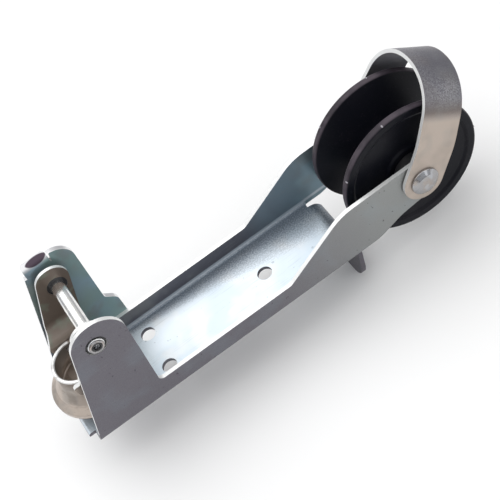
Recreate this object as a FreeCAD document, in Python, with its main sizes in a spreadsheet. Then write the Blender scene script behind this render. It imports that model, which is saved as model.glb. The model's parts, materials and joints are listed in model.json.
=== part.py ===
import FreeCAD, Part
import os
import Sketcher
from math import sin, tan

# Bow roller: a folded steel channel that is bolted to the foredeck, with a
# grooved roller and a swinging bail at its forward end and a swinging keeper
# at its after end.
#
# Frame: +X forward over the bow, +Y to port, +Z up. The origin is on the
# underside of the base, midway between the two after bolt holes. Every
# "station" in the sheet is a distance forward of the ear's lower corner.

SIZES = {
    # the folded channel
    "sheet": 2.5, "width": 56.0, "bend": 4.0, "wall": 14.6,
    "wall_round": 5.0, "sweep": 30.0, "back_lip": 4.0, "back_root": 3.0,
    "lip_half": 21.0, "bolt_station": 54.4,
    "bolt_half": 13.7, "bolt_hole": 4.5, "fore_station": 127.8,
    # the ear on the starboard side
    "ear_top": 85.2, "ear_slope": 0.238, "ear_foot": 46.0, "ear_front": 50.2,
    "ear_round": 15.8, "ear_blend": 3.0, "ear_hole": 6.2,
    # the arms that carry the roller
    "rise_start": 134.0, "rise_end": 176.0, "arm_top": 38.1,
    "arm_round": 12.6, "arm_end": 238.7, "arm_low": 12.1,
    "keel_end": 183.0, "keel_rise": 207.0, "keel_height": 8.4,
    # the turned down lip under the roller
    "nose": 180.4, "nose_leg": 35.0, "nose_lean": 8.0, "nose_turn": 98.0,
    "nose_bend": 8.0, "nose_round": 14.0, "notch": 171.0, "notch_round": 1.5,
    # the side plate on the port side
    "plate": 3.0, "plate_low": 5.5, "plate_back": 0.1, "plate_slope": 0.2476,
    "plate_step": 81.0, "plate_notch": 36.6, "plate_top": 87.9,
    "plate_front": 48.9, "plate_neck": 47.1, "plate_shoulder": 33.8,
    "plate_nose": 53.2, "plate_round": 14.4, "tab_out": 6.6,
    "tab_height": 86.0, "tab_start": 20.4, "tab_length": 15.8,
    "rivet_height": 9.8, "rivet_back": 9.0, "rivet_front": 42.0,
    "rivet": 2.5,
    # the rod across the ears
    "rod_station": 31.0, "rod_height": 69.6, "rod": 4.0, "rod_head": 4.9,
    # the keeper that swings on the rod
    "strap": 2.0, "strap_half": 24.3, "strap_top": 83.6,
    "strap_back": 23.4, "strap_front": 42.8, "strap_round": 9.4,
    "strap_flare": 46.5, "strap_waist": 38.4, "strap_neck": 17.4,
    "strap_low": 28.6, "strap_tail": 8.0, "strap_hole": 6.0,
    "foot_station": 15.5, "foot": 24.2, "foot_step": 19.8, "foot_mouth": 15.1,
    "foot_top": 37.6, "foot_floor": 19.4, "foot_low": 14.6, "pin": 3.0,
    "joint_height": 33.0, "joint_pin": 2.0,
    # the roller on its axle
    "axle_station": 225.7, "axle_height": 25.1, "axle": 5.0, "sleeve": 7.0,
    "roller": 42.3, "roller_half": 18.5, "groove": 17.0, "rim": 4.2,
    "axle_head": 8.5, "spacer": 12.0,
    # the bail over the roller
    "band": 2.2, "band_wide": 25.2, "band_half": 30.9, "band_top": 60.5,
    "band_bend": 22.0, "band_draw": 8.0, "band_round": 27.4,
    "band_lean": 37.5, "washer": 10.0, "washer_wall": 0.5,
    # running clearances, and how far a cut reaches past a piece
    "play": 0.08, "gap": 0.2, "beyond": 20.0,
}


def fill_sheet(doc):
    """Write every driving size to the sheet, one aliased row each."""
    sheet = doc.addObject("Spreadsheet::Sheet", "Dims")
    for row, (name, value) in enumerate(SIZES.items(), start=1):
        sheet.set("A%d" % row, name)
        sheet.set("B%d" % row, str(value))
        sheet.setAlias("B%d" % row, name)
    doc.recompute()
    return sheet


def bound(text):
    """Turn the short names in a formula into references to the sheet."""
    words = []
    word = ""
    for char in text + " ":
        if char.isalnum() or char == "_":
            word += char
            continue
        words.append("Dims." + word if word in SIZES else word)
        words.append(char)
        word = ""
    return "".join(words).strip()


def value_of(doc, text):
    """The number that a formula gives with the sheet's present values."""
    result = doc.getObject("Dims").evalExpression(bound(text))
    return float(getattr(result, "Value", result))


def new_body(doc, label, station="0", height="0", turn=None):
    """An empty body placed at a station along the channel."""
    body = doc.addObject("PartDesign::Body", label)
    body.Label = label
    if turn is not None:
        body.Placement.Rotation = turn
    body.setExpression("Placement.Base.x", bound("%s - bolt_station" % station))
    body.setExpression("Placement.Base.z", bound(height))
    return body


ACROSS = FreeCAD.Rotation(FreeCAD.Vector(1, 0, 0), -90)
PLATE_RIVETS = [("rivet_back", "rivet_height"), ("rivet_front", "rivet_height")]


def plane_of(body, role):
    """The origin plane of this body that has the given role."""
    for feature in body.Origin.OriginFeatures:
        if feature.Role == role:
            return feature
    raise ValueError("no plane " + role)


def new_sketch(body, role, offset="0"):
    """A sketch on one of the body's own origin planes."""
    sketch = body.newObject("Sketcher::SketchObject", body.Label + "_sketch")
    sketch.AttachmentSupport = [(plane_of(body, role), "")]
    sketch.MapMode = "FlatFace"
    sketch.setExpression("AttachmentOffset.Base.z", bound(offset))
    return sketch


def corner_trim(before, here, after, radius):
    """Where a rounded corner leaves its two sides, and its centre."""
    back = (before - here).normalize()
    ahead = (after - here).normalize()
    half = back.getAngle(ahead) / 2
    middle = (back + ahead).normalize()
    reach = radius / tan(half)
    return here + back * reach, here + ahead * reach, here + middle * (radius / sin(half))


def closed_outline(sketch, corners):
    """Draw a closed outline of (x, y, radius) corners and bind every one."""
    doc = sketch.Document
    spots = [FreeCAD.Vector(value_of(doc, c[0]), value_of(doc, c[1]), 0) for c in corners]
    rounds = [value_of(doc, c[2]) if len(c) > 2 else 0.0 for c in corners]
    count = len(corners)
    leave = []
    enter = []
    centres = []
    for i in range(count):
        if rounds[i] > 0:
            trims = corner_trim(spots[i - 1], spots[i], spots[(i + 1) % count], rounds[i])
        else:
            trims = (spots[i], spots[i], None)
        enter.append(trims[0])
        leave.append(trims[1])
        centres.append(trims[2])
    lines = []
    for i in range(count):
        side = Part.LineSegment(leave[i], enter[(i + 1) % count])
        lines.append(sketch.addGeometry(side, False))
    for i in range(count):
        point = sketch.addGeometry(Part.Point(spots[i]), True)
        place_point(sketch, point, corners[i], spots[i])
        incoming = lines[i - 1]
        outgoing = lines[i]
        if rounds[i] > 0:
            arc = add_arc(sketch, enter[i], leave[i], centres[i], rounds[i])
            join_arc(sketch, arc, enter[i], incoming, outgoing)
            sketch.addConstraint(Sketcher.Constraint("PointOnObject", point, 1, incoming))
            sketch.addConstraint(Sketcher.Constraint("PointOnObject", point, 1, outgoing))
            number = sketch.addConstraint(Sketcher.Constraint("Radius", arc, rounds[i]))
            sketch.setExpression("Constraints[%d]" % number, bound(corners[i][2]))
        else:
            sketch.addConstraint(Sketcher.Constraint("Coincident", incoming, 2, point, 1))
            sketch.addConstraint(Sketcher.Constraint("Coincident", outgoing, 1, point, 1))


def place_point(sketch, point, corner, spot):
    """Hold a sketch point at its two bound coordinates."""
    for kind, text, value in (("DistanceX", corner[0], spot.x), ("DistanceY", corner[1], spot.y)):
        number = sketch.addConstraint(Sketcher.Constraint(kind, point, 1, value))
        sketch.setExpression("Constraints[%d]" % number, bound(text))


def add_arc(sketch, start, finish, centre, radius):
    """Add the short arc between two trim points."""
    middle = (start + finish) * 0.5
    outward = (middle - centre).normalize()
    arc = Part.Arc(start, centre + outward * radius, finish)
    return sketch.addGeometry(arc, False)


def join_arc(sketch, arc, start, incoming, outgoing):
    """Tie an arc's ends to its two sides, smoothly."""
    first = sketch.getPoint(arc, 1)
    near = (first - start).Length < 1e-6
    ends = (1, 2) if near else (2, 1)
    sketch.addConstraint(Sketcher.Constraint("Tangent", incoming, 2, arc, ends[0]))
    sketch.addConstraint(Sketcher.Constraint("Tangent", outgoing, 1, arc, ends[1]))


def circle(sketch, across, along, radius):
    """A bound circle."""
    doc = sketch.Document
    centre = FreeCAD.Vector(value_of(doc, across), value_of(doc, along), 0)
    size = value_of(doc, radius)
    ring = Part.Circle(centre, FreeCAD.Vector(0, 0, 1), size)
    number = sketch.addGeometry(ring, False)
    for kind, text, value in (("DistanceX", across, centre.x), ("DistanceY", along, centre.y)):
        mark = sketch.addConstraint(Sketcher.Constraint(kind, number, 3, value))
        sketch.setExpression("Constraints[%d]" % mark, bound(text))
    mark = sketch.addConstraint(Sketcher.Constraint("Radius", number, size))
    sketch.setExpression("Constraints[%d]" % mark, bound(radius))


def pad(body, sketch, length, midplane=False, reverse=False):
    """Extrude a sketch."""
    feature = body.newObject("PartDesign::Pad", body.Label + "_pad")
    feature.Profile = sketch
    feature.setExpression("Length", bound(length))
    feature.Midplane = midplane
    feature.Reversed = reverse
    return feature


def pocket(body, sketch, length, midplane=False, reverse=False):
    """Cut a sketch out of the body, and make sure that it does cut."""
    body.Document.recompute()
    before = body.Shape.Volume
    feature = body.newObject("PartDesign::Pocket", body.Label + "_pocket")
    feature.Profile = sketch
    feature.setExpression("Length", bound(length))
    feature.Midplane = midplane
    feature.Reversed = reverse
    body.Document.recompute()
    if not body.Shape.Volume < before - 0.01:
        raise RuntimeError(body.Label + ": a pocket cuts nothing")
    return feature


def turned(doc, label, corners, station, height="0", turn=None):
    """A body turned about its own axis from an outline of (radius, along)."""
    body = new_body(doc, label, station, height, turn)
    sketch = new_sketch(body, "XZ_Plane")
    closed_outline(sketch, corners)
    feature = body.newObject("PartDesign::Revolution", label + "_turn")
    feature.Profile = sketch
    feature.ReferenceAxis = (sketch, ["V_Axis"])
    feature.Angle = 360.0
    return body


def ring(doc, label, inner, outer, start, finish, station, height, soft="0.3"):
    """A ring across the channel, such as a washer, bush or spacer."""
    corners = [
        (inner, start),
        (outer, start, soft),
        (outer, finish, soft),
        (inner, finish),
    ]
    return turned(doc, label, corners, station, height, ACROSS)


def keep_inside(body, corners, far, **way):
    """Cut away what lies outside an outline in side view, out to a far box."""
    left, low, right, top = far
    sketch = new_sketch(body, "XZ_Plane")
    closed_outline(sketch, [(left, low), (right, low), (right, top), (left, top)])
    closed_outline(sketch, corners)
    pocket(body, sketch, "width * 2", **way)


def side_corners(aft):
    """The outline of one side of the channel, with the given after end."""
    return [
        ("0", "0"),
        ("keel_end", "0", "sweep"),
        ("keel_rise", "keel_height", "sweep"),
        ("arm_end", "arm_low", "arm_round"),
        ("arm_end", "arm_top", "arm_round"),
        ("rise_end", "arm_top", "sweep"),
        ("rise_start", "wall", "wall_round"),
    ] + aft


def folded_section(body, half, low, top, thick, outer, inner):
    """A U-shaped section, open at the top."""
    sketch = new_sketch(body, "YZ_Plane")
    closed_outline(sketch, [
        ("-(%s)" % half, top),
        ("-(%s)" % half, low, outer),
        (half, low, outer),
        (half, top),
        ("%s - %s" % (half, thick), top),
        ("%s - %s" % (half, thick), "%s + %s" % (low, thick), inner),
        ("-(%s - %s)" % (half, thick), "%s + %s" % (low, thick), inner),
        ("-(%s - %s)" % (half, thick), top),
    ])
    return sketch


def round_corner(body, role, corner, outward, radius, length, reverse=False):
    """Cut one square corner of a flat piece to a radius."""
    east, north = corner
    right, up = outward
    past_x = "%s + (%s) * 4" % (east, right)
    past_y = "%s + (%s) * 4" % (north, up)
    back_x = "%s - (%s) * (%s + 0.3)" % (east, right, radius)
    back_y = "%s - (%s) * (%s + 0.3)" % (north, up, radius)
    sketch = new_sketch(body, role)
    closed_outline(sketch, [
        (past_x, past_y),
        (past_x, back_y),
        (east, back_y),
        (east, north, radius),
        (back_x, north),
        (back_x, past_y),
    ])
    pocket(body, sketch, length, reverse=reverse)


def fold_channel(body):
    """The base and its two walls, with the ear on the starboard one."""
    section = folded_section(body, "width / 2", "0", "ear_top", "sheet", "bend", "bend - sheet")
    pad(body, section, "arm_end")
    ear = [
        ("ear_foot", "wall", "ear_blend"),
        ("ear_front", "ear_top", "ear_round"),
        ("ear_slope * ear_top", "ear_top", "ear_round"),
    ]
    plain = [("ear_slope * wall", "wall", "ear_blend")]
    far = ("-beyond", "-beyond", "arm_end + beyond", "ear_top + beyond")
    keep_inside(body, side_corners(ear), far, reverse=True)
    keep_inside(body, side_corners(plain), far)
    gap = new_sketch(body, "XY_Plane")
    closed_outline(gap, [
        ("notch", "-(width / 2 - sheet)", "notch_round"),
        ("arm_end", "-(width / 2 - sheet)"),
        ("arm_end", "width / 2 - sheet"),
        ("notch", "width / 2 - sheet", "notch_round"),
    ])
    pocket(body, gap, "bend * 2", midplane=True)


def turn_front_lip(body):
    """The long lip turned down under the roller, with two round corners."""
    lip = new_sketch(body, "XZ_Plane")
    tip = "sheet - nose_leg * cos(nose_lean)"
    closed_outline(lip, [
        ("notch - back_root", "0"),
        ("notch - back_root", "sheet"),
        ("nose", "sheet", "nose_bend"),
        ("nose - nose_leg * sin(nose_lean)", tip),
        ("nose - nose_leg * sin(nose_lean) - sheet * cos(nose_lean)",
         tip + " + sheet * sin(nose_lean)"),
        ("nose - sheet * tan(nose_turn / 2)", "0", "nose_bend - sheet"),
    ])
    pad(body, lip, "lip_half * 2", midplane=True)
    for side in ("1", "-1"):
        corner = ("(%s) * lip_half" % side, tip)
        round_corner(body, "YZ_Plane", corner, (side, "-1"), "nose_round", "arm_end", True)


def add_back_lip(body):
    """The short flat lip at the after end of the base."""
    tail = new_sketch(body, "XZ_Plane")
    closed_outline(tail, [
        ("-back_lip", "0", "0.8"),
        ("back_root", "0"),
        ("back_root", "sheet"),
        ("-back_lip", "sheet", "1.6"),
    ])
    pad(body, tail, "lip_half * 2 - 2", midplane=True)


def drill(body, spots, radius, length, role="XZ_Plane", **way):
    """Cut a set of round holes of one radius."""
    holes = new_sketch(body, role)
    for across, along in spots:
        circle(holes, across, along, radius)
    pocket(body, holes, length, **way)


def make_channel(doc):
    """The folded channel: base, walls, one ear, two arms and two lips."""
    body = new_body(doc, "channel")
    fold_channel(body)
    turn_front_lip(body)
    add_back_lip(body)
    bolts = [("bolt_station", "bolt_half"), ("bolt_station", "-bolt_half"), ("fore_station", "0")]
    drill(body, bolts, "bolt_hole", "sheet * 4", "XY_Plane", midplane=True)
    drill(body, [("axle_station", "axle_height")], "axle", "width * 2", midplane=True)
    drill(body, [("rod_station", "rod_height")], "ear_hole", "width", reverse=True)
    drill(body, PLATE_RIVETS, "rivet", "width")
    return body


def make_side_plate(doc):
    """The port side plate with its thumb tab, outside the low wall."""
    body = new_body(doc, "side_plate")
    face = new_sketch(body, "XZ_Plane", "-(width / 2)")
    closed_outline(face, [
        ("plate_back", "plate_low", "5"),
        ("plate_back + plate_slope * (plate_step - plate_low)", "plate_step"),
        ("plate_notch", "plate_step", "2.5"),
        ("plate_notch + 1", "plate_top", "1.5"),
        ("plate_front", "plate_top", "plate_round * 0.82"),
        ("plate_neck", "plate_shoulder", "3"),
        ("plate_nose", "plate_shoulder - 6", "6"),
        ("plate_nose", "plate_low", "11"),
    ])
    pad(body, face, "plate", reverse=True)
    tab = new_sketch(body, "YZ_Plane", "tab_start")
    closed_outline(tab, [
        ("width / 2", "plate_step - 0.5"),
        ("width / 2", "tab_height", "3.6"),
        ("width / 2 + tab_out", "tab_height + 0.6", "0.6"),
        ("width / 2 + tab_out", "tab_height - 2", "0.6"),
        ("width / 2 + plate", "tab_height - plate", "1"),
        ("width / 2 + plate", "plate_step - 0.5"),
    ])
    pad(body, tab, "tab_length")
    for side, end in (("-1", "tab_start"), ("1", "tab_start + tab_length")):
        corner = (end, "width / 2 + tab_out")
        round_corner(body, "XY_Plane", corner, (side, "1"), "3", "arm_end", True)
    drill(body, [("rod_station", "rod_height")], "rod", "width")
    drill(body, PLATE_RIVETS, "rivet", "width")
    return body


def make_rod(doc):
    """The rod across the ears, riveted into the side plate."""
    body = turned(doc, "pivot_rod", [
        ("0", "-(width / 2 + 0.5)"),
        ("rod_head", "-(width / 2 + 0.5)", "0.6"),
        ("rod_head", "-(width / 2 - 1.3)"),
        ("rod", "-(width / 2 - 1.3)"),
        ("rod", "width / 2 + plate"),
        ("rod * 1.7", "width / 2 + plate", "0.4"),
        ("rod * 1.5", "width / 2 + plate + 2", "1.4"),
        ("0", "width / 2 + plate + 2.6"),
    ], "rod_station", "rod_height", ACROSS)
    socket = new_sketch(body, "XY_Plane", "-(width / 2 + 0.5)")
    corners = []
    for number in range(6):
        corners.append(("rod * 0.66 * cos(%d)" % (60 * number), "rod * 0.66 * sin(%d)" % (60 * number)))
    closed_outline(socket, corners)
    pocket(body, socket, "5", reverse=True)
    return body


def make_cheek(doc, label, side):
    """One cheek of the keeper, from the rod down to the side of the foot."""
    body = new_body(doc, label)
    sketch = new_sketch(body, "YZ_Plane")
    face = [
        ("strap_half", "strap_top"),
        ("strap_half", "strap_flare", "7"),
        ("strap_neck", "strap_waist", "5"),
        ("strap_neck", "strap_low"),
        ("strap_neck - strap", "strap_low"),
        ("strap_neck - strap", "strap_waist + strap * 0.42", "7"),
        ("strap_half - strap", "strap_flare + strap * 0.42", "5"),
        ("strap_half - strap", "strap_top"),
    ]
    closed_outline(sketch, [("(%s) * (%s)" % (side, c[0]),) + c[1:] for c in face])
    pad(body, sketch, "strap_front + 4")
    outline = [
        ("foot_station - strap_tail", "strap_low", "5"),
        ("foot_station + strap_tail", "strap_low", "5"),
        ("foot_station + strap_tail + 2", "strap_waist - 1", "5"),
        ("foot_station + 18", "strap_flare - 1", "5"),
        ("strap_front", "strap_top", "strap_round"),
        ("strap_back", "strap_top", "strap_round"),
        ("foot_station - 5.2", "strap_flare - 2", "12"),
        ("foot_station - 9.6", "strap_waist - 1", "3"),
    ]
    far = ("-beyond", "0", "strap_front + beyond", "ear_top + beyond")
    keep_inside(body, outline, far, midplane=True)
    drill(body, [("rod_station", "rod_height")], "strap_hole", "width * 2", midplane=True)
    drill(body, [("foot_station", "joint_height")], "joint_pin", "width * 2", midplane=True)
    return body


def make_foot(doc):
    """The round foot: a stepped bell, its rubber sole and their rivet."""
    bell = turned(doc, "foot_bell", [
        ("pin", "foot_floor"),
        ("foot_step - 3", "foot_floor", "1"),
        ("foot_mouth - 2.2", "foot_floor + 7.6", "6"),
        ("foot_mouth - 2.2", "foot_top", "0.8"),
        ("foot_mouth", "foot_top", "0.8"),
        ("foot_mouth", "foot_floor + 8", "8"),
        ("foot_step", "foot_floor + 1.6", "0.4"),
        ("foot_step + 0.5", "foot_floor + 0.4", "0.4"),
        ("foot", "foot_low + 2.6", "0.8"),
        ("foot", "foot_low"),
        ("foot - 2", "foot_low"),
        ("foot - 2", "foot_low + 1.4", "0.5"),
        ("foot_step - 0.6", "foot_floor - 2", "0.5"),
        ("pin", "foot_floor - 2"),
    ], "foot_station")
    mouth = new_sketch(bell, "XZ_Plane")
    closed_outline(mouth, [
        ("joint_pin + 3", "foot_top + 2"),
        ("joint_pin + 4", "foot_floor + 8.4", "4"),
        ("foot", "foot_floor + 8.4"),
        ("foot", "foot_top + 2"),
    ])
    pocket(bell, mouth, "width * 2", midplane=True)
    drill(bell, [("0", "joint_height")], "joint_pin + play", "width * 2", midplane=True)
    turned(doc, "foot_sole", [
        ("7.5", "foot_low - 2"),
        ("foot - 0.6", "foot_low - 2", "0.7"),
        ("foot - 0.6", "foot_low"),
        ("foot - 2", "foot_low"),
        ("foot - 2", "foot_low + 0.9"),
        ("foot_step - 1.6", "foot_floor - 2"),
        ("pin", "foot_floor - 2"),
        ("pin", "foot_floor - 3.6"),
        ("7.5", "foot_floor - 3.6"),
    ], "foot_station")
    turned(doc, "foot_rivet", [
        ("0", "foot_floor - 5.2"),
        ("pin * 1.8", "foot_floor - 5.2", "0.5"),
        ("pin * 1.8", "foot_floor - 3.6"),
        ("pin", "foot_floor - 3.6"),
        ("pin", "foot_floor"),
        ("pin * 1.9", "foot_floor", "0.3"),
        ("pin * 1.4", "foot_floor + 2", "1.5"),
        ("0", "foot_floor + 2.4"),
    ], "foot_station")


def rivet_solid(radius, start, finish, spot, way):
    """A rivet with a domed head past its finish, along a direction."""
    shank = Part.makeCylinder(radius, finish - start, spot + way * start, way)
    ball = Part.makeSphere(radius * 2.2, spot + way * (finish - radius * 1.2))
    keep = Part.makeCylinder(radius * 2, radius * 2, spot + way * finish, way)
    return shank.fuse(ball.common(keep)).removeSplitter().Solids[0]


def rivet_group(doc, label, solids):
    """A set of like rivets as one piece of separate solids."""
    feature = doc.addObject("Part::Feature", label)
    feature.Label = label
    feature.Shape = Part.makeCompound(solids)
    feature.Placement.Base.x = -value_of(doc, "bolt_station")
    return feature


def make_rivets(doc):
    """The side plate's two rivets and the two that join cheeks and foot."""
    port = FreeCAD.Vector(0, 1, 0)
    height = value_of(doc, "rivet_height")
    inner = value_of(doc, "width / 2 - sheet")
    outer = value_of(doc, "width / 2 + plate")
    spots = [FreeCAD.Vector(value_of(doc, n), 0, height) for n in ("rivet_back", "rivet_front")]
    radius = value_of(doc, "rivet")
    rivet_group(doc, "side_plate_rivets",
                [rivet_solid(radius, inner, outer, spot, port) for spot in spots])
    spot = FreeCAD.Vector(value_of(doc, "foot_station"), 0, value_of(doc, "joint_height"))
    inner = value_of(doc, "foot_mouth - 2.6")
    outer = value_of(doc, "strap_neck")
    radius = value_of(doc, "joint_pin")
    rivet_group(doc, "cheek_rivets",
                [rivet_solid(radius, inner, outer, spot, way) for way in (port, -port)])


def make_roller(doc):
    """The deeply grooved roller."""
    return turned(doc, "roller", [
        ("sleeve + play", "-roller_half", "0.6"),
        ("spacer + 3", "-roller_half", "1"),
        ("spacer + 4.5", "-(roller_half - 1.2)", "1"),
        ("roller - 6.5", "-(roller_half - 1.2)", "1"),
        ("roller - 5", "-roller_half", "1"),
        ("roller", "-roller_half", "1.4"),
        ("roller", "-(roller_half - rim)", "1.2"),
        ("groove", "-4.5", "6.4"),
        ("groove", "4.5", "6.4"),
        ("roller", "roller_half - rim", "1.2"),
        ("roller", "roller_half", "1.4"),
        ("roller - 5", "roller_half", "1"),
        ("roller - 6.5", "roller_half - 1.2", "1"),
        ("spacer + 4.5", "roller_half - 1.2", "1"),
        ("spacer + 3", "roller_half", "1"),
        ("sleeve + play", "roller_half", "0.6"),
    ], "axle_station", "axle_height", ACROSS)


def make_axle(doc):
    """The axle bolt with its domed head, and the domed nut on its far end."""
    station = "axle_station"
    height = "axle_height"
    face = "width / 2 + washer_wall + gap + band + gap"
    turned(doc, "axle_bolt", [
        ("0", "-(%s + 3.6)" % face),
        ("axle_head * 0.62", "-(%s + 3.2)" % face, "3"),
        ("axle_head", "-(%s + 1)" % face, "0.6"),
        ("axle_head", "-(%s)" % face),
        ("axle", "-(%s)" % face),
        ("axle", "%s + 2.5" % face, "0.4"),
        ("0", "%s + 2.5" % face),
    ], station, height, ACROSS)
    turned(doc, "axle_nut", [
        ("0", "%s + 2.5" % face),
        ("axle", "%s + 2.5" % face),
        ("axle", face),
        ("axle_head", face),
        ("axle_head", "%s + 2.6" % face, "0.8"),
        ("axle_head * 0.62", "%s + 4.6" % face, "3"),
        ("0", "%s + 5" % face),
    ], station, height, ACROSS)


def make_bail(doc):
    """The bail: a flat band bent over the roller, with round ends."""
    turn = FreeCAD.Rotation(FreeCAD.Vector(0, 1, 0), value_of(doc, "band_lean"))
    body = new_body(doc, "bail", "axle_station", "axle_height", turn)
    sketch = new_sketch(body, "YZ_Plane")
    inner = "(band_half - band_draw - band * 0.813)"
    face = [
        ("band_half", "-(band_wide / 2)"),
        ("band_half", "band_bend", "60"),
        ("band_half - band_draw", "band_top", "band_round"),
    ]
    back = [
        (inner, "band_top - band", "band_round - band"),
        ("band_half - band", "band_bend - band * 0.1", "60 - band"),
        ("band_half - band", "-(band_wide / 2)"),
    ]
    far_side = [("-(%s)" % c[0],) + c[1:] for c in face]
    far_back = [("-(%s)" % c[0],) + c[1:] for c in back]
    closed_outline(sketch, far_side + face[::-1] + back[::-1] + far_back)
    pad(body, sketch, "band_wide", midplane=True)
    outline = [
        ("-(band_wide / 2)", "-(band_wide / 2)", "band_wide / 2 - 0.3"),
        ("band_wide / 2", "-(band_wide / 2)", "band_wide / 2 - 0.3"),
        ("band_wide / 2", "band_top + 1"),
        ("-(band_wide / 2)", "band_top + 1"),
    ]
    far = ("-band_wide", "-band_wide", "band_wide", "band_top + beyond")
    keep_inside(body, outline, far, midplane=True)
    drill(body, [("0", "0")], "axle + play", "width * 2", midplane=True)
    return body


def make_rings(doc):
    """The bushes, spacers and washers on the rod and on the axle."""
    rod = ("rod_station", "rod_height")
    ring(doc, "rod_spacer", "rod", "rod * 1.75", "strap_half + gap", "width / 2", *rod)
    ring(doc, "keeper_bush_port", "rod + play", "strap_hole", "strap_half - strap",
         "strap_half", *rod, soft="0.2")
    ring(doc, "keeper_bush_starboard", "rod + play", "strap_hole", "-strap_half",
         "-(strap_half - strap)", *rod, soft="0.2")
    turned(doc, "ear_bush", [
        ("rod", "-(width / 2 - 1.3)"),
        ("ear_hole", "-(width / 2 - 1.3)"),
        ("ear_hole", "-(width / 2 - sheet)"),
        ("ear_hole + 2", "-(width / 2 - sheet)"),
        ("ear_hole + 2", "-(width / 2 - sheet - 0.8)", "0.3"),
        ("rod", "-(width / 2 - sheet - 0.8)"),
    ], rod[0], rod[1], ACROSS)
    axle = ("axle_station", "axle_height")
    ring(doc, "roller_sleeve", "axle", "sleeve", "-(width / 2 - sheet)", "width / 2 - sheet",
         *axle, soft="0.1")
    ring(doc, "roller_spacer_port", "sleeve", "spacer", "roller_half + gap",
         "width / 2 - sheet", *axle)
    ring(doc, "roller_spacer_starboard", "sleeve", "spacer", "-(width / 2 - sheet)",
         "-(roller_half + gap)", *axle)
    ring(doc, "bail_washer_port", "axle", "washer", "width / 2", "width / 2 + washer_wall",
         *axle, soft="0.15")
    ring(doc, "bail_washer_starboard", "axle", "washer", "-(width / 2 + washer_wall)",
         "-(width / 2)", *axle, soft="0.15")


def sub_parts(doc):
    """Every object that is a piece of the bow roller."""
    kinds = ("PartDesign::Body", "Part::Feature")
    return [obj for obj in doc.Objects if obj.TypeId in kinds]


def check(doc):
    """Stop if any object failed or any piece has no sound shape."""
    for obj in doc.Objects:
        if "Invalid" in obj.State or "Error" in obj.State:
            raise RuntimeError("failed: %s %s" % (obj.Label, obj.State))
    for obj in sub_parts(doc):
        if obj.Shape.isNull() or not obj.Shape.isValid() or not obj.Shape.Solids:
            raise RuntimeError("bad shape: " + obj.Label)


def main():
    doc = FreeCAD.newDocument("BowRoller")
    fill_sheet(doc)
    make_channel(doc)
    make_side_plate(doc)
    make_rivets(doc)
    make_rod(doc)
    make_cheek(doc, "keeper_cheek_port", "1")
    make_cheek(doc, "keeper_cheek_starboard", "-1")
    make_foot(doc)
    make_roller(doc)
    make_axle(doc)
    make_bail(doc)
    make_rings(doc)
    doc.recompute()
    check(doc)
    os.makedirs("parts", exist_ok=True)
    for obj in sub_parts(doc):
        obj.Shape.exportStep("parts/%s.step" % obj.Label)
        box = obj.Shape.BoundBox
        print("%-24s %7.0f mm3  x %.1f..%.1f y %.1f..%.1f z %.1f..%.1f" % (
            obj.Label, obj.Shape.Volume, box.XMin, box.XMax, box.YMin, box.YMax,
            box.ZMin, box.ZMax))


main()
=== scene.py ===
import json
from math import cos, radians, sin, tau

import bmesh
import bpy
from bpy.props import FloatProperty, FloatVectorProperty, IntProperty, PointerProperty
from mathutils import Matrix, Vector


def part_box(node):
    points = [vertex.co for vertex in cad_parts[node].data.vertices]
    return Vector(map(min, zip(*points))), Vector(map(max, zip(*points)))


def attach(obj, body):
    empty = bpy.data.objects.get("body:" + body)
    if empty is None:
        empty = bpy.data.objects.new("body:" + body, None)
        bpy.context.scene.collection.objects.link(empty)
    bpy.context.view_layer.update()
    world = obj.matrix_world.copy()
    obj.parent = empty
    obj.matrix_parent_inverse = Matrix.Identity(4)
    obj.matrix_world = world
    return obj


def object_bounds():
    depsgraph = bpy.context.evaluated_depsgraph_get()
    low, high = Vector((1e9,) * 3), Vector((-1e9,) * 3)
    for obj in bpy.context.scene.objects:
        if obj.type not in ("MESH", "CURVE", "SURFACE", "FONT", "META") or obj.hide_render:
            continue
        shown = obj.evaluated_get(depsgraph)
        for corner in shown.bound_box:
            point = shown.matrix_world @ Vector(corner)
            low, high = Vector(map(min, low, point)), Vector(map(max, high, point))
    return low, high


bl_info = {
    "name": "Bow Roller Looks",
    "version": (1, 0, 0),
    "blender": (4, 5, 0),
    "location": "3D View > Sidebar > Bow Roller",
    "description": "Plated steel, moulded plastic and small fittings for a bow roller",
    "category": "Object",
}

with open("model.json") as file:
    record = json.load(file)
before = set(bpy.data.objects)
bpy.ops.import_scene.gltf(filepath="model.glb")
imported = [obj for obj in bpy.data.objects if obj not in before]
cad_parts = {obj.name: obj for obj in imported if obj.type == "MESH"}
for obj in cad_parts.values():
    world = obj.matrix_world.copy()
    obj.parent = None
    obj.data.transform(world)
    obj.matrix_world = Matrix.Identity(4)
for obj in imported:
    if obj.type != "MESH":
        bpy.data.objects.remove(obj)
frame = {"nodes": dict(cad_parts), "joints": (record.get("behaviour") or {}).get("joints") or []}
CAD_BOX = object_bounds()
JOINTS = {joint["name"]: joint for joint in frame["joints"]}
BUSH_NODES = (
    "rod_spacer", "keeper_bush_port", "keeper_bush_starboard", "ear_bush",
    "roller_spacer_port", "roller_spacer_starboard",
    "bail_washer_port", "bail_washer_starboard",
)

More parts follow.
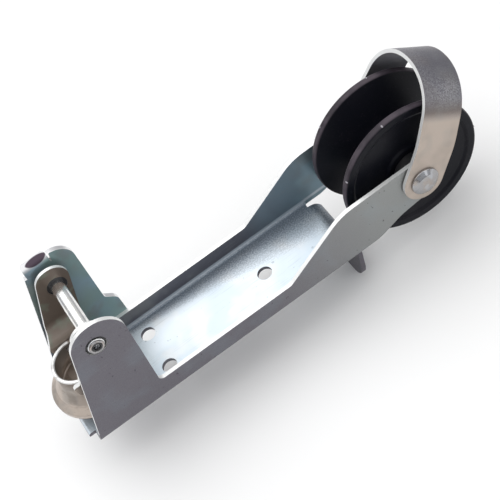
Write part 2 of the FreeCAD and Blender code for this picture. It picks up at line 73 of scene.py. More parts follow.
# Places on the pieces, in metres, and the bail's lean.
SHEET = 0.0026                 # just over the thickness of the sheet
BASE_TOP = 0.0045              # over the base's upper face, under the walls
BEND_TOP = 0.0062              # over the bends between base and walls
ARM_START = (0.07, 0.12)       # where the walls' inner colour changes
NOSE_START = (0.108, 0.127)    # where the base turns to painted shade towards its front edge
BAND_WIDENS = (-0.02, 0.125)   # between these the base's band of painted shade widens
BAND_WIDTH = 0.034             # the widest of that band
CROWN_START = (0.035, 0.0425)  # how far up the bail its legs' tan ends
CROWN_RING = (0.036, 0.041, 0.049)  # start, middle and end of the ring there
FOOT_GLOW = (0.030, 0.050)     # heights over which the cheeks' inner faces go from painted light below to painted shade above
TAB_MIDDLE = (0.0283, 0.0034)  # middle of the tab's painted dark reflection, from the plate's aft and outer sides
TAB_HALF = (0.0069, 0.0028)    # half the length and width of that painted dark oval
TAB_WIDTH = 0.0066             # how far the tab stands out
BAIL_LEAN = radians(37.5)      # the bail's forward lean at rest


# ---------------------------------------------------------------- settings

def colour(name, text, default):
    """A colour setting."""
    return FloatVectorProperty(
        name=name, description=text, default=default, size=3, min=0.0, max=1.0, subtype="COLOR")


def length(name, text, default):
    """A length setting in metres."""
    return FloatProperty(name=name, description=text, default=default, min=0.0, unit="LENGTH")


class BowRollerPlating(bpy.types.PropertyGroup):
    """Colours of the zinc plated sheet."""
    # Grey: the outer walls' colour, partly the plating's own and partly painted reflection.
    grey: colour("Plating grey", "Outer faces of the channel", (0.128, 0.121, 0.142))
    pale: colour("Pale plating", "Forward end of the arms", (0.27, 0.28, 0.275))
    # Slate: the inner walls' colour, partly the plating's own and partly painted reflection; also painted
    # shade on the bail.
    slate: colour("Slate", "Inner face of the walls", (0.135, 0.135, 0.158))
    teal: colour("Teal", "Blue green bloom in the plating", (0.30, 0.43, 0.50))
    green: colour("Green", "Green bloom in the plating", (0.25, 0.36, 0.28))
    # Bright: a painted reflection of the top light on the base's upper face.
    bright: colour("Bright", "Top of the base", (0.72, 0.79, 0.85))
    # Frost: bluish clouds within the base's painted reflection.
    frost: colour("Frost", "Bluish clouds on the base", (0.55, 0.65, 0.74))
    # Silver: the colour of bright grains; also a painted highlight on the thumb tab's upper face and the
    # lit patches of the bail's crown.
    silver: colour("Silver", "Bright grains, and the thumb tab", (0.46, 0.46, 0.48))
    # Shade: painted shade in the base's band along the port wall and on the side plate's aft end; also the
    # colour of small random dots on the base.
    shade: colour("Shade", "Dull band on the base and aft side of the side plate", (0.16, 0.19, 0.23))
    # Dark: real pits, and a painted dark reflection on the thumb tab.
    dark: colour("Dark", "Pits, and the dish of the thumb tab", (0.045, 0.03, 0.045))
    # Painted highlight: near-white on the sheared edges, and pale clouds in the base's painted reflection.
    cut: colour("Cut edge", "Sheared edges of the sheet", (0.84, 0.845, 0.84))
    tan: colour("Tan", "Warm plating on the keeper and bail legs", (0.49, 0.42, 0.365))
    # Umber: painted shade on the keeper's inner faces and towards the top of the foot's bell; also a colour
    # in random clouds, rub marks and the bail's ring.
    umber: colour("Umber", "Inner faces of the keeper", (0.175, 0.14, 0.115))
    grain: FloatProperty(
        name="Grain", description="Grains of the plating per metre", default=1500.0, min=100.0)


class BowRollerMoulding(bpy.types.PropertyGroup):
    """The black roller, bushes and sole."""
    black: colour("Black", "Moulded roller", (0.0055, 0.006, 0.0095))
    # Rim: a painted highlight along the roller's rims; also the colour of its faint haze and rub marks.
    rim: colour("Rim", "Rubbed rim of the roller", (0.075, 0.062, 0.075))
    flash: colour("Flash", "Pale flash left on the rims", (0.34, 0.33, 0.36))
    nylon: colour("Nylon", "Bushes and washers", (0.016, 0.016, 0.018))
    rubber: colour("Rubber", "Sole of the foot", (0.013, 0.012, 0.012))
    nib: length("Nib", "Radius of a moulding nib", 0.0007)
    nib_count: IntProperty(name="Nibs", description="Moulding nibs on a rim", default=7, min=1)


class BowRollerStudio(bpy.types.PropertyGroup):
    """Floor, lights and camera."""
    floor_size: length("Floor", "Side of the floor", 8.0)
    floor_gap: length("Floor gap", "Gap under the lowest point", 0.0004)
    key_power: FloatProperty(name="Key", description="Power of the top light", default=9.0, unit="POWER")
    fill_power: FloatProperty(name="Fill", description="Power of the side light", default=1.5, unit="POWER")
    sky: FloatProperty(name="Sky", description="Strength of the surroundings", default=0.86, min=0.0)
    lens: FloatProperty(name="Lens", description="Focal length in millimetres", default=107.38, min=10.0)
    camera_place: FloatVectorProperty(
        name="Camera place", description="Where the camera stands",
        default=(0.01873, -0.52755, 0.65689), subtype="TRANSLATION", unit="LENGTH")
    camera_turn: FloatVectorProperty(
        name="Camera turn", description="How the camera is turned",
        default=(radians(35.74), radians(19.485), radians(-30.75)), subtype="EULER", unit="ROTATION")


# ---------------------------------------------------------------- node trees

class Tree:
    """Short ways to add and join the nodes of one tree."""

    def __init__(self, tree):
        self.tree = tree

    def feed(self, socket, value):
        """Join a socket to another, or set its value."""
        if isinstance(value, bpy.types.NodeSocket):
            self.tree.links.new(value, socket)
        else:
            socket.default_value = value

    def add(self, kind, inputs=(), **settings):
        """A node of this kind with its settings and inputs."""
        node = self.tree.nodes.new("ShaderNode" + kind)
        for name, value in settings.items():
            setattr(node, name, value)
        for name, value in dict(inputs).items():
            self.feed(node.inputs[name], value)
        return node

    def maths(self, operation, first, second=0.0, clamp=False):
        """One sum on two values."""
        node = self.add("Math", {0: first, 1: second}, operation=operation, use_clamp=clamp)
        return node.outputs[0]

    def between(self, value, low, high, start=0.0, finish=1.0):
        """A value eased from one range to another."""
        node = self.add("MapRange", interpolation_type="SMOOTHSTEP")
        for name, part in zip(("Value", "From Min", "From Max", "To Min", "To Max"),
                              (value, low, high, start, finish)):
            self.feed(node.inputs[name], part)
        return node.outputs["Result"]

    def blend(self, factor, first, second, way="MIX"):
        """Two colours mixed by a factor."""
        node = self.add("Mix", data_type="RGBA", blend_type=way, clamp_factor=True)
        self.feed(node.inputs["Factor"], factor)
        self.feed(node.inputs[6], first)
        self.feed(node.inputs[7], second)
        return node.outputs[2]

    def noise(self, scale, detail=2.0, vector=None):
        """Noise over the object's own coordinates."""
        if vector is None:
            vector = self.add("TexCoord").outputs["Object"]
        node = self.add("TexNoise", {"Vector": vector, "Scale": scale, "Detail": detail})
        return node.outputs["Fac"]

    def place(self):
        """The three coordinates of a point of the object."""
        coordinates = self.add("TexCoord").outputs["Object"]
        return self.add("SeparateXYZ", {"Vector": coordinates}).outputs

    def facing(self):
        """The three parts of the object's own normal."""
        normal = self.add("TexCoord").outputs["Normal"]
        return self.add("SeparateXYZ", {"Vector": normal}).outputs

    def use(self, group, **inputs):
        """A shared effect placed in this tree."""
        node = self.add("Group", node_tree=group)
        for name, value in inputs.items():
            self.feed(node.inputs[name.replace("_", " ").title()], value)
        return node.outputs


def effect(name, inputs, outputs):
    """An empty shared effect with named sockets, as (tree, its ends)."""
    tree = bpy.data.node_groups.new(name, "ShaderNodeTree")
    kinds = {"value": "NodeSocketFloat", "colour": "NodeSocketColor", "vector": "NodeSocketVector"}
    for label, kind, default in inputs:
        socket = tree.interface.new_socket(name=label, in_out="INPUT", socket_type=kinds[kind])
        socket.default_value = default
    for label, kind in outputs:
        tree.interface.new_socket(name=label, in_out="OUTPUT", socket_type=kinds[kind])
    start = tree.nodes.new("NodeGroupInput")
    end = tree.nodes.new("NodeGroupOutput")
    return tree, Tree(tree), start.outputs, end.inputs


def grain_effect():
    """Fine plating grain: an uneven gloss and a height."""
    tree, t, given, made = effect(
        "plating_grain",
        [("Scale", "value", 1500.0), ("Gloss", "value", 0.4), ("Spread", "value", 0.2)],
        [("Roughness", "value"), ("Height", "value")])
    fine = t.noise(given["Scale"], 3.0)
    broad = t.noise(t.maths("MULTIPLY", given["Scale"], 0.06), 4.0)
    mixed = t.maths("ADD", t.maths("MULTIPLY", fine, 0.5), t.maths("MULTIPLY", broad, 0.5))
    swing = t.maths("MULTIPLY", t.maths("SUBTRACT", mixed, 0.5), given["Spread"])
    t.feed(made["Roughness"], t.maths("ADD", given["Gloss"], swing))
    t.feed(made["Height"], fine)
    return tree


def bloom_effect():
    """Soft clouds of two tints over a ground colour."""
    tree, t, given, made = effect(
        "plating_bloom",
        [("Ground", "colour", (0.2, 0.2, 0.2, 1)), ("First", "colour", (0.2, 0.3, 0.3, 1)),
         ("Second", "colour", (0.3, 0.3, 0.2, 1)), ("Scale", "value", 40.0), ("Amount", "value", 0.5)],
        [("Colour", "colour")])
    one = t.between(t.noise(given["Scale"], 2.0), 0.42, 0.62)
    two = t.between(t.noise(t.maths("MULTIPLY", given["Scale"], 1.7), 2.0), 0.5, 0.68)
    first = t.blend(t.maths("MULTIPLY", one, given["Amount"]), given["Ground"], given["First"])
    both = t.blend(t.maths("MULTIPLY", two, given["Amount"]), first, given["Second"])
    t.feed(made["Colour"], both)
    return tree


def speckle_effect():
    """Dark and bright specks as one factor around 0.5."""
    tree, t, given, made = effect(
        "plating_speckle", [("Scale", "value", 1200.0), ("Hardness", "value", 0.1)],
        [("Mask", "value")])
    raw = t.noise(given["Scale"], 4.0)
    low = t.maths("SUBTRACT", 0.5, given["Hardness"])
    high = t.maths("ADD", 0.5, given["Hardness"])
    t.feed(made["Mask"], t.between(raw, low, high))
    return tree


def scratch_effect():
    """Long thin rub marks along one axis."""
    tree, t, given, made = effect(
        "rub_marks",
        [("Stretch", "vector", (60.0, 900.0, 900.0)), ("Amount", "value", 0.5)],
        [("Mask", "value")])
    coordinates = t.add("TexCoord").outputs["Object"]
    pulled = t.add("VectorMath", {0: coordinates, 1: given["Stretch"]}, operation="MULTIPLY")
    lines = t.noise(1.0, 2.0, pulled.outputs[0])
    t.feed(made["Mask"], t.maths("MULTIPLY", t.between(lines, 0.6, 0.72), given["Amount"]))
    return tree


def rim_effect():
    """How far out a point is from an axle, eased from one radius to another."""
    tree, t, given, made = effect(
        "distance_from_axle",
        [("Axle", "vector", (0.0, 0.0, 0.0)), ("Start", "value", 0.0), ("Finish", "value", 0.01)],
        [("Mask", "value")])
    coordinates = t.add("TexCoord").outputs["Object"]
    away = t.add("VectorMath", {0: coordinates, 1: given["Axle"]}, operation="SUBTRACT")
    flat = t.add("VectorMath", {0: away.outputs[0], 1: (1.0, 0.0, 1.0)}, operation="MULTIPLY")
    reach = t.add("VectorMath", {0: flat.outputs[0]}, operation="LENGTH").outputs["Value"]
    t.feed(made["Mask"], t.between(reach, given["Start"], given["Finish"]))
    return tree


EFFECTS = {
    "grain": grain_effect, "bloom": bloom_effect, "speckle": speckle_effect,
    "scratch": scratch_effect, "rim": rim_effect,
}
built = {}


def shared(name):
    """A shared effect, built the first time that it is asked for."""
    if name not in built:
        built[name] = EFFECTS[name]()
    return built[name]


def full(value):
    """A colour setting with its alpha."""
    return (value[0], value[1], value[2], 1.0)


SOCKETS = {"specular_ior_level": "Specular IOR Level", "coat_weight": "Coat Weight"}


def new_material(name, metallic=0.0, **constants):
    """A material with its shader, as (material, tree, shader)."""
    material = bpy.data.materials.new(name)
    material.use_nodes = True
    material.node_tree.nodes.clear()
    t = Tree(material.node_tree)
    shader = t.add("BsdfPrincipled")
    shader.inputs["Metallic"].default_value = metallic
    for label, value in constants.items():
        shader.inputs[SOCKETS[label]].default_value = value
    output = t.add("OutputMaterial")
    t.feed(output.inputs["Surface"], shader.outputs[0])
    return material, t, shader


def finish_shader(t, shader, tint, roughness, height, depth):
    """Join the colour, gloss and relief of a finish to its shader."""
    t.feed(shader.inputs["Base Color"], tint)
    t.feed(shader.inputs["Roughness"], roughness)
    bump = t.add("Bump", {"Strength": 0.35, "Distance": depth, "Height": height})
    t.feed(shader.inputs["Normal"], bump.outputs["Normal"])


# ---------------------------------------------------------------- finishes

def edge_highlight_mask(t, across, low=0.35, high=0.8):
    """One where a face turns away from the sheet's broad sides: the sheared edges that get a painted
    highlight.
    """
    return t.between(t.maths("ABSOLUTE", across), low, high, 1.0, 0.0)


def spots(t, scale, start, finish, strength, detail=2.0):
    """Sparse soft spots: a factor that rises where the noise is high."""
    return t.between(t.noise(scale, detail), start, finish, 0.0, strength)


def outer_wall_tint(t, plating, place, front):
    """Grey plating that pales along the arms, with pits and fine pepper."""
    forward = t.between(place["X"], 0.05, front - 0.03)
    ground = t.blend(forward, full(plating.grey), full(plating.pale))
    tint = t.use(shared("bloom"), ground=ground, first=full(plating.grey), second=full(plating.teal),
                 scale=26.0, amount=0.08)["Colour"]
    pits = spots(t, scale=420.0, start=0.70, finish=0.735, strength=0.75)
    tint = t.blend(pits, tint, full(plating.dark))
    pepper = t.use(shared("speckle"), scale=plating.grain * 1.6, hardness=0.2)["Mask"]
    return t.blend(t.maths("MULTIPLY", pepper, 0.12), tint, full(plating.silver))


def inner_wall_tint(t, plating, place):
    """Slate beside the base, turning blue green along the arms."""
    arms = t.between(place["X"], *ARM_START)
    ground = t.blend(arms, full(plating.slate), full(plating.teal))
    return t.use(shared("bloom"), ground=ground, first=full(plating.slate),
                 second=full(plating.pale), scale=30.0, amount=0.4)["Colour"]


def base_tint(t, plating, place, wall):
    """The base's upper face: a bright clouded painted reflection, giving way to painted shade in a ragged
    grainy band along the port wall and towards the nose.
    """
    width = t.maths("MULTIPLY", t.between(place["X"], *BAND_WIDENS, 0.2, 1.0), BAND_WIDTH)
    band = t.between(place["Y"], t.maths("SUBTRACT", wall, width), wall)
    nose = t.between(place["X"], *NOSE_START)
    reach = t.maths("MAXIMUM", band, nose)
    specks = t.use(shared("speckle"), scale=plating.grain * 0.8, hardness=0.16)["Mask"]
    ragged = t.maths("MULTIPLY", t.maths("SUBTRACT", specks, 0.5), 0.35)
    # Painted shade: the base darkens along the port wall and towards its front edge, with a ragged border.
    painted_shade_band = t.maths("ADD", reach, ragged, clamp=True)
    painted_shade_band = t.maths("MULTIPLY", painted_shade_band, t.between(reach, 0.02, 0.3))
    # Painted reflection of the top light, bright with bluish and near-white clouds.
    tint = t.use(shared("bloom"), ground=full(plating.bright), first=full(plating.frost),
                 second=full(plating.cut), scale=34.0, amount=0.5)["Colour"]
    dots = spots(t, scale=260.0, start=0.70, finish=0.74, strength=0.35)
    tint = t.blend(dots, tint, full(plating.shade))
    return t.blend(painted_shade_band, tint, full(plating.shade))


def bend_highlight(t, height, sideways):
    """A painted highlight: the bright line along the inner side of each bend."""
    over = t.between(height, 0.0027, 0.0034)
    under = t.between(height, 0.0044, 0.0056, 1.0, 0.0)
    inner = t.between(sideways, -0.004, -0.002, 1.0, 0.0)
    return t.maths("MULTIPLY", t.maths("MULTIPLY", over, under), inner)


def channel_finish(plating):
    """Plated steel of the channel: grey outside, a painted reflection on the base with a band of painted
    shade, and painted highlights on the sheared edges and bends.
    """
    material, t, shader = new_material("plated_channel", metallic=0.6)
    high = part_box("channel")[1]
    place = t.place()
    facing = t.facing()
    sideways = t.maths("MULTIPLY", facing["Y"], place["Y"])
    outer = outer_wall_tint(t, plating, place, high[0])
    inner = inner_wall_tint(t, plating, place)
    # Outer faces take the grey tint and inner faces the slate one by which way they face: partly the
    # plating's own colours, partly painted reflection.
    tint = t.blend(t.between(sideways, -0.001, 0.001), inner, outer)
    # Upward faces of the base get the painted reflection and painted shade of base_tint.
    upward = t.maths("GREATER_THAN", facing["Z"], 0.5)
    on_base = t.maths("MULTIPLY", upward, t.maths("LESS_THAN", place["Z"], BASE_TOP))
    tint = t.blend(on_base, tint, base_tint(t, plating, place, high[1] - SHEET))
    # Painted highlight along the inner bends.
    bends = t.maths("MULTIPLY", bend_highlight(t, place["Z"], sideways), 0.8)
    tint = t.blend(bends, tint, full(plating.bright))
    over_bends = t.maths("GREATER_THAN", place["Z"], BEND_TOP)
    # Painted highlight on the sheared edges above the bends.
    cut = t.maths("MULTIPLY", edge_highlight_mask(t, facing["Y"]), over_bends)
    tint = t.blend(cut, tint, full(plating.cut))
    marks = t.use(shared("scratch"), stretch=(50.0, 1500.0, 1500.0), amount=0.2)["Mask"]
    tint = t.blend(marks, tint, full(plating.pale))
    below = t.between(place["Z"], -0.004, 0.0, 1.0, 0.0)
    tint = t.blend(below, tint, full(plating.grey))
    grain = t.use(shared("grain"), scale=plating.grain, gloss=0.42, spread=0.3)
    finish_shader(t, shader, tint, grain["Roughness"], grain["Height"], depth=0.00012)
    return material


def thumb_tab(t, place, facing, low, high):
    """The thumb tab's upper face, which gets a painted highlight, and the oval of painted dark reflection
    on it.
    """
    middle = (low[0] + TAB_MIDDLE[0], high[1] - TAB_MIDDLE[1])
    squares = []
    for axis, at, reach in zip("XY", middle, TAB_HALF):
        away = t.maths("DIVIDE", t.maths("SUBTRACT", place[axis], at), reach)
        squares.append(t.maths("MULTIPLY", away, away))
    upward = t.between(facing["Z"], 0.4, 0.7)
    root = high[1] - TAB_WIDTH
    face = t.maths("MULTIPLY", upward, t.between(place["Y"], root, root + 0.0006))
    oval = t.between(t.maths("ADD", *squares), 0.75, 1.0, 1.0, 0.0)
    return face, t.maths("MULTIPLY", oval, upward)


def side_plate_finish(plating):
    """Blue green plating of the side plate, with painted shade at its aft end, painted highlights on its
    sheared edges and thumb tab, and a painted dark reflection on the tab.
    """
    material, t, shader = new_material("plated_side_plate", metallic=0.6)
    place = t.place()
    facing = t.facing()
    # Painted shade over the aft end of the plate.
    aft = t.between(place["X"], -0.045, -0.02, 1.0, 0.0)
    ground = t.blend(aft, full(plating.teal), full(plating.shade))
    tint = t.use(shared("bloom"), ground=ground, first=full(plating.green), second=full(plating.pale),
                 scale=48.0, amount=0.45)["Colour"]
    # Painted highlight on the side plate's sheared edges.
    tint = t.blend(edge_highlight_mask(t, facing["Y"]), tint, full(plating.cut))
    low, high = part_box("side_plate")
    face, dark_reflection = thumb_tab(t, place, facing, low, high)
    # Painted highlight on the tab's upper face, then its painted dark reflection.
    tint = t.blend(t.maths("MULTIPLY", face, 0.7), tint, full(plating.silver))
    tint = t.blend(dark_reflection, tint, full(plating.dark))
    grain = t.use(shared("grain"), scale=plating.grain, gloss=0.38, spread=0.25)
    finish_shader(t, shader, tint, grain["Roughness"], grain["Height"], depth=0.0001)
    return material


def keeper_finish(plating):
    """Warm plating of the keeper's cheeks, pale outside; the inner faces get painted shade, with painted
    light low down near the foot.
    """
    material, t, shader = new_material("plated_keeper", metallic=0.55)
    place = t.place()
    facing = t.facing()
    outward = t.between(t.maths("MULTIPLY", facing["Y"], place["Y"]), -0.001, 0.001)
    # Painted light low on the inner faces near the foot, painted shade higher up.
    near_foot = t.between(place["Z"], *FOOT_GLOW, 1.0, 0.0)
    inner_light_and_shade = t.blend(near_foot, full(plating.umber), full(plating.tan))
    tint = t.blend(outward, inner_light_and_shade, full(plating.tan))
    tint = t.use(shared("bloom"), ground=tint, first=full(plating.umber), second=full(plating.green),
                 scale=70.0, amount=0.3)["Colour"]
    # Painted highlight on the cheeks' sheared edges.
    tint = t.blend(edge_highlight_mask(t, facing["Y"]), tint, full(plating.cut))
    grain = t.use(shared("grain"), scale=plating.grain, gloss=0.42, spread=0.3)
    finish_shader(t, shader, tint, grain["Roughness"], grain["Height"], depth=0.0001)
    return material


def bell_finish(plating):
    """Warm plating of the pressed foot, darker towards its top in painted shade, with a painted highlight
    on its step along the aft half of the top edge.
    """
    material, t, shader = new_material("plated_bell", metallic=0.55)
    place = t.place()
    low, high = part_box("foot_bell")
    # Painted shade: the bell turns darker towards its top and mouth.
    rise = t.between(place["Z"], low[2] + 0.006, high[2])
    tint = t.blend(rise, full(plating.tan), full(plating.umber))
    middle = (low[0] + high[0]) / 2
    # Painted highlight along the aft half of the bell's top edge.
    lip_highlight = t.maths("MULTIPLY", t.between(place["Z"], high[2] - 0.0012, high[2] - 0.0004),
                  t.between(place["X"], middle, middle + 0.002, 1.0, 0.0))
    tint = t.blend(lip_highlight, tint, full(plating.cut))
    tint = t.use(shared("bloom"), ground=tint, first=full(plating.pale), second=full(plating.umber),
                 scale=80.0, amount=0.3)["Colour"]
    marks = t.use(shared("scratch"), stretch=(300.0, 300.0, 2600.0), amount=0.35)["Mask"]
    tint = t.blend(marks, tint, full(plating.umber))
    grain = t.use(shared("grain"), scale=plating.grain, gloss=0.34, spread=0.25)
    finish_shader(t, shader, tint, grain["Roughness"], grain["Height"], depth=0.00008)
    return material


def bail_directions(t):
    """How far up its leg a point of the bail is, and how its face is turned."""
    axle = Vector(JOINTS["bail_swing"]["pos_m"])
    place = t.add("TexCoord").outputs["Object"]
    normal = t.add("TexCoord").outputs["Normal"]
    away = t.add("VectorMath", {0: place, 1: axle}, operation="SUBTRACT").outputs[0]
    up_leg = (sin(BAIL_LEAN), 0.0, cos(BAIL_LEAN))
    over_band = (cos(BAIL_LEAN), 0.0, -sin(BAIL_LEAN))
    found = []
    for first, second in ((away, up_leg), (normal, over_band), (away, normal)):
        dot = t.add("VectorMath", {0: first, 1: second}, operation="DOT_PRODUCT")
        found.append(dot.outputs["Value"])
    return found


def bail_finish(plating):
    """The bail: speckled grey crown in painted lit and dim patches, tan legs, painted shade on its inner
    face and painted highlights on its edges.
    """
    material, t, shader = new_material("plated_bail", metallic=0.6)
    along, across, outward = bail_directions(t)
    specks = t.use(shared("speckle"), scale=plating.grain * 0.9, hardness=0.22)["Mask"]
    dim = t.blend(specks, full(plating.slate), full(plating.grey))
    lit = t.blend(specks, full(plating.grey), full(plating.silver))
    # Painted light: the crown shifts between lit and dim copies of its colours.
    crown = t.blend(t.between(t.noise(30.0, 1.0), 0.30, 0.72, 0.15, 0.8), dim, lit)
    start, middle, end = CROWN_RING
    ring = t.maths("MULTIPLY", t.between(along, start, middle), t.between(along, middle, end, 1.0, 0.0))
    crown = t.blend(t.maths("MULTIPLY", ring, 0.65), crown, full(plating.umber))
    face = t.blend(t.between(along, *CROWN_START), full(plating.tan), crown)
    # Painted shade on the bail's inner face, towards the axle.
    face = t.blend(t.between(outward, -0.004, 0.004), full(plating.slate), face)
    face = t.use(shared("bloom"), ground=face, first=full(plating.umber), second=full(plating.pale),
                 scale=60.0, amount=0.16)["Colour"]
    # Painted highlight on the bail's edges.
    tint = t.blend(t.between(t.maths("ABSOLUTE", across), 0.55, 0.85), face, full(plating.cut))
    grain = t.use(shared("grain"), scale=plating.grain, gloss=0.44, spread=0.3)
    finish_shader(t, shader, tint, grain["Roughness"], grain["Height"], depth=0.00012)
    return material


def polished_finish(name, tint, warm, scale):
    """Polished steel with faint turning marks and a warm bloom."""
    material, t, shader = new_material(name, metallic=1.0)
    colour_now = t.use(shared("bloom"), ground=tint, first=warm, second=full((0.5, 0.52, 0.56)),
                       scale=scale, amount=0.5)["Colour"]
    marks = t.use(shared("scratch"), stretch=(900.0, 120.0, 900.0), amount=0.25)["Mask"]
    colour_now = t.blend(marks, colour_now, full((0.32, 0.31, 0.31)))
    grain = t.use(shared("grain"), scale=900.0, gloss=0.2, spread=0.18)
    finish_shader(t, shader, colour_now, grain["Roughness"], grain["Height"], depth=0.00004)
    return material


def roller_finish(moulding):
    """Black moulded plastic with a painted highlight along the rims, faintly hazed."""
    material, t, shader = new_material("moulded_roller", specular_ior_level=0.13)
    axle = JOINTS["roller_spin"]["pos_m"]
    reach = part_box("roller")[1][2] - axle[2]
    # Painted highlight along the roller's outer rims, broken into patches.
    rim_highlight = t.use(shared("rim"), axle=axle, start=reach - 0.0009, finish=reach - 0.0001)["Mask"]
    patches = t.between(t.noise(70.0, 3.0), 0.35, 0.6, 0.45, 1.0)
    haze = spots(t, scale=38.0, start=0.5, finish=0.8, strength=0.10, detail=4.0)
    tint = t.blend(haze, full(moulding.black), full(moulding.rim))
    tint = t.blend(t.maths("MULTIPLY", rim_highlight, patches), tint, full(moulding.rim))
    marks = t.use(shared("scratch"), stretch=(900.0, 80.0, 900.0), amount=0.12)["Mask"]
    tint = t.blend(marks, tint, full(moulding.rim))
    grain = t.use(shared("grain"), scale=1100.0, gloss=0.36, spread=0.22)
    finish_shader(t, shader, tint, grain["Roughness"], grain["Height"], depth=0.00006)
    return material


def soft_finish(name, tint, gloss, scale):
    """Nylon or rubber with a fine moulded texture and dusty patches."""
    material, t, shader = new_material(name)
    dust = spots(t, scale=120.0, start=0.5, finish=0.8, strength=0.25, detail=4.0)
    tint_now = t.blend(dust, full(tint), full((0.09, 0.085, 0.08)))
    grain = t.use(shared("grain"), scale=scale, gloss=gloss, spread=0.2)
    finish_shader(t, shader, tint_now, grain["Roughness"], grain["Height"], depth=0.0001)
    return material


# ---------------------------------------------------------------- pieces

def paint(name, material):
    """Give a node its finish."""
    thing = frame["nodes"][name]
    thing.data.materials.clear()
    thing.data.materials.append(material)


def new_piece(name, mesh, body, material):
    """A shown piece that rides on a body."""
    piece = bpy.data.objects.new(name, mesh)
    bpy.context.scene.collection.objects.link(piece)
    mesh.materials.append(material)
    mesh.shade_smooth()
    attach(piece, body)
    return piece


def spun_mesh(name, outline, centre, steps=48):
    """A mesh turned about the cross axis from (radius, across) points."""
    mesh = bpy.data.meshes.new(name)
    bm = bmesh.new()
    rings = []
    for step in range(steps):
        angle = tau * step / steps
        rings.append([
            bm.verts.new(Vector(centre) + Vector((radius * cos(angle), across, radius * sin(angle))))
            for radius, across in outline])
    count = len(outline)
    for step in range(steps):
        here = rings[step]
        after = rings[(step + 1) % steps]
        for i in range(count):
            j = (i + 1) % count
            bm.faces.new((here[i], here[j], after[j], after[i]))
    bmesh.ops.recalc_face_normals(bm, faces=bm.faces)
    bm.to_mesh(mesh)
    bm.free()
    return mesh


def ring_outline(radius, tube, across, points=12):
    """A round ring's section, as (radius, across) points."""
    return [(radius + tube * cos(tau * i / points), across + tube * sin(tau * i / points))
            for i in range(points)]


class BOWROLLER_OT_plate_sheet(bpy.types.Operator):
    """Give the folded channel, side plate and bail their plating."""
    bl_idname = "bowroller.plate_sheet"
    bl_label = "Plate the sheet"

    def execute(self, context):
        plating = context.scene.bowroller_plating
        paint("channel", channel_finish(plating))
        paint("side_plate", side_plate_finish(plating))
        paint("bail", bail_finish(plating))
        return {"FINISHED"}


class BOWROLLER_OT_plate_keeper(bpy.types.Operator):
    """Give the keeper's cheeks and foot their warm plating."""
    bl_idname = "bowroller.plate_keeper"
    bl_label = "Plate the keeper"

    def execute(self, context):
        plating = context.scene.bowroller_plating
        cheeks = keeper_finish(plating)
        for name in ("keeper_cheek_port", "keeper_cheek_starboard"):
            paint(name, cheeks)
        paint("foot_bell", bell_finish(plating))
        return {"FINISHED"}


class BOWROLLER_OT_polish_fittings(bpy.types.Operator):
    """Polish the rod, axle bolt, sleeve and rivets."""
    bl_idname = "bowroller.polish_fittings"
    bl_label = "Polish the fittings"

    def execute(self, context):
        rod = polished_finish("polished_rod", full((0.86, 0.86, 0.86)), full((0.8, 0.78, 0.74)), 60.0)
        for name in ("pivot_rod", "roller_sleeve"):
            paint(name, rod)
        heads = polished_finish("dull_heads", full((0.36, 0.355, 0.36)), full((0.42, 0.34, 0.28)), 150.0)
        for name in ("axle_bolt", "axle_nut", "side_plate_rivets", "cheek_rivets", "foot_rivet"):
            paint(name, heads)
        return {"FINISHED"}


class BOWROLLER_OT_mould_plastic(bpy.types.Operator):
    """Give the roller, bushes and sole their moulded finishes."""
    bl_idname = "bowroller.mould_plastic"
    bl_label = "Mould the plastic"

    def execute(self, context):
        moulding = context.scene.bowroller_moulding
        paint("roller", roller_finish(moulding))
        nylon = soft_finish("black_nylon", moulding.nylon, 0.4, 1400.0)
        for name in BUSH_NODES:
            paint(name, nylon)
        paint("foot_sole", soft_finish("sole_rubber", moulding.rubber, 0.6, 800.0))
        return {"FINISHED"}


class BOWROLLER_OT_roll_rod_end(bpy.types.Operator):
    """Roll the hollow end of the rod over its bush."""
    bl_idname = "bowroller.roll_rod_end"
    bl_label = "Roll the rod's end"

    def execute(self, context):
        pos = JOINTS["keeper_swing"]["pos_m"]
        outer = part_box("pivot_rod")[0][1]
        steel = bpy.data.materials["dull_heads"]
        nylon = bpy.data.materials["black_nylon"]
        rolled = ring_outline(radius=0.0037, tube=0.00075, across=outer - 0.0003)
        # The black seal ring is partly a real seal and partly stands for the shade in the rod's hollow end.
        seal = ring_outline(radius=0.0026, tube=0.0007, across=outer - 0.00015)
        rims = (
            ("rod_rolled_end", rolled, "polished_steel", steel),
            ("rod_end_seal", seal, "nylon", nylon),
        )
        for name, outline, slot, material in rims:
            mesh = spun_mesh(name, outline, (pos[0], 0.0, pos[2]))
            new_piece(name, mesh, "base", material)
        return {"FINISHED"}


class BOWROLLER_OT_add_nibs(bpy.types.Operator):
    """Add the small nibs that moulding leaves on the rims."""
    bl_idname = "bowroller.add_nibs"
    bl_label = "Add moulding marks"

    def execute(self, context):
        moulding = context.scene.bowroller_moulding
        axle = Vector(JOINTS["roller_spin"]["pos_m"])
        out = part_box("roller")[1][2] - axle.z - moulding.nib * 0.6
        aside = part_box("roller")[1][1] - 0.0012
        first = 64
        stagger = 17
        size = Matrix.Diagonal((1.0, 1.5, 0.8, 1.0))
        mesh = bpy.data.meshes.new("moulding_nibs")
        bm = bmesh.new()
        for side in (-1, 1):
            for i in range(moulding.nib_count):
                angle = radians(first + 360 * i / moulding.nib_count + stagger * side)
                spot = axle + Vector((cos(angle) * out, side * aside, sin(angle) * out))
                bmesh.ops.create_icosphere(
                    bm, subdivisions=2, radius=moulding.nib, matrix=Matrix.Translation(spot) @ size)
        bm.to_mesh(mesh)
        bm.free()
        flash = soft_finish("moulding_flash", moulding.flash, 0.4, 1400.0)
        new_piece("moulding_nibs", mesh, "roller", flash)
        return {"FINISHED"}


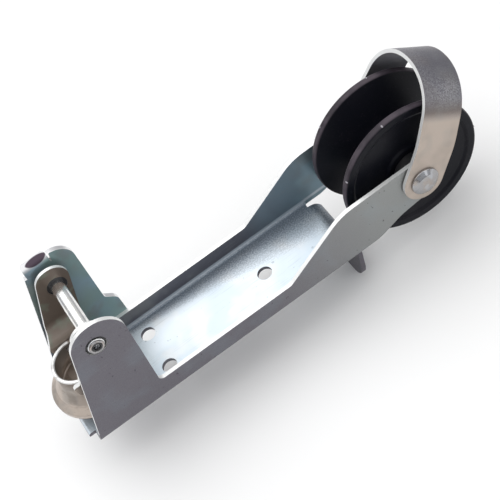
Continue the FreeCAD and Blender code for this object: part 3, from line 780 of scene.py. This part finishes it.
class BOWROLLER_OT_set_stage(bpy.types.Operator):
    """Lay the floor, hang the lights and place the camera."""
    bl_idname = "bowroller.set_stage"
    bl_label = "Set the stage"

    def execute(self, context):
        studio = context.scene.bowroller_studio
        lay_floor(studio)
        hang_lights(studio)
        light_surroundings(studio)
        place_camera(studio)
        context.scene.view_settings.view_transform = "Standard"
        return {"FINISHED"}


def lay_floor(studio):
    """A pale floor under the lowest point."""
    half = studio.floor_size / 2
    height = CAD_BOX[0][2] - studio.floor_gap
    mesh = bpy.data.meshes.new("floor")
    corners = [(-half, -half, height), (half, -half, height), (half, half, height), (-half, half, height)]
    mesh.from_pydata(corners, [], [(0, 1, 2, 3)])
    material, t, shader = new_material("pale_floor")
    cloud = t.between(t.noise(3.0, 2.0), 0.3, 0.7)
    t.feed(shader.inputs["Base Color"],
           t.blend(cloud, full((0.90, 0.90, 0.90)), full((0.92, 0.92, 0.92))))
    shader.inputs["Roughness"].default_value = 0.9
    shader.inputs["Specular IOR Level"].default_value = 0.0
    mesh.materials.append(material)
    floor = bpy.data.objects.new("floor", mesh)
    bpy.context.scene.collection.objects.link(floor)


def soft_light(name, place, target, size, power):
    """A square soft light that looks at a point."""
    lamp = bpy.data.lights.new(name, "AREA")
    lamp.shape = "SQUARE"
    lamp.size = size
    lamp.energy = power
    thing = bpy.data.objects.new(name, lamp)
    thing.location = place
    thing.rotation_euler = (Vector(target) - Vector(place)).to_track_quat("-Z", "Y").to_euler()
    bpy.context.scene.collection.objects.link(thing)


def hang_lights(studio):
    """A large top light, aft and to port, and a small fill on the other side."""
    middle = (Vector(CAD_BOX[0]) + Vector(CAD_BOX[1])) / 2
    lights = (
        ("top_light", (-0.25, 0.35, 1.0), 1.6, studio.key_power),
        ("fill_light", (0.7, -0.8, 0.5), 0.7, studio.fill_power),
    )
    for name, away, size, power in lights:
        soft_light(name, middle + Vector(away), middle, size, power)


def light_surroundings(studio):
    """Surroundings that are pale above and greyer at the horizon."""
    world = bpy.data.worlds.new("surroundings")
    world.use_nodes = True
    world.node_tree.nodes.clear()
    t = Tree(world.node_tree)
    direction = t.add("TexCoord").outputs["Generated"]
    height = t.add("SeparateXYZ", {"Vector": direction}).outputs["Z"]
    rise = t.between(height, -0.1, 0.9)
    tint = t.blend(rise, full((0.42, 0.43, 0.45)), full((1.0, 1.0, 1.0)))
    backdrop = t.add("Background", {"Color": tint, "Strength": studio.sky})
    output = t.add("OutputWorld")
    t.feed(output.inputs["Surface"], backdrop.outputs[0])
    bpy.context.scene.world = world


def place_camera(studio):
    """The camera, looking down on the starboard side."""
    camera = bpy.data.cameras.new("camera")
    camera.lens = studio.lens
    camera.sensor_width = 36.0
    camera.clip_start = 0.01
    thing = bpy.data.objects.new("camera", camera)
    thing.location = studio.camera_place
    thing.rotation_euler = studio.camera_turn
    bpy.context.scene.collection.objects.link(thing)
    bpy.context.scene.camera = thing


# ---------------------------------------------------------------- add-on

STEPS = (
    BOWROLLER_OT_plate_sheet, BOWROLLER_OT_plate_keeper, BOWROLLER_OT_polish_fittings,
    BOWROLLER_OT_mould_plastic, BOWROLLER_OT_roll_rod_end, BOWROLLER_OT_add_nibs,
    BOWROLLER_OT_set_stage,
)


class BOWROLLER_PT_panel(bpy.types.Panel):
    """Settings and steps of the bow roller."""
    bl_idname = "BOWROLLER_PT_panel"
    bl_label = "Bow Roller"
    bl_space_type = "VIEW_3D"
    bl_region_type = "UI"
    bl_category = "Bow Roller"

    def draw(self, context):
        for name in ("bowroller_plating", "bowroller_moulding", "bowroller_studio"):
            settings = getattr(context.scene, name)
            box = self.layout.box()
            for key in settings.__annotations__:
                box.prop(settings, key)
        for step in STEPS:
            self.layout.operator(step.bl_idname)


GROUPS = {
    "bowroller_plating": BowRollerPlating,
    "bowroller_moulding": BowRollerMoulding,
    "bowroller_studio": BowRollerStudio,
}
CLASSES = tuple(GROUPS.values()) + STEPS + (BOWROLLER_PT_panel,)


def register():
    """Add the settings, steps and panel."""
    for part in CLASSES:
        bpy.utils.register_class(part)
    for name, group in GROUPS.items():
        setattr(bpy.types.Scene, name, PointerProperty(type=group))


def unregister():
    """Take the settings, steps and panel away."""
    for name in GROUPS:
        delattr(bpy.types.Scene, name)
    for part in reversed(CLASSES):
        bpy.utils.unregister_class(part)


def main():
    """Run every step."""
    register()
    for step in STEPS:
        area, name = step.bl_idname.split(".")
        getattr(getattr(bpy.ops, area), name)()


if __name__ == "__main__":
    main()
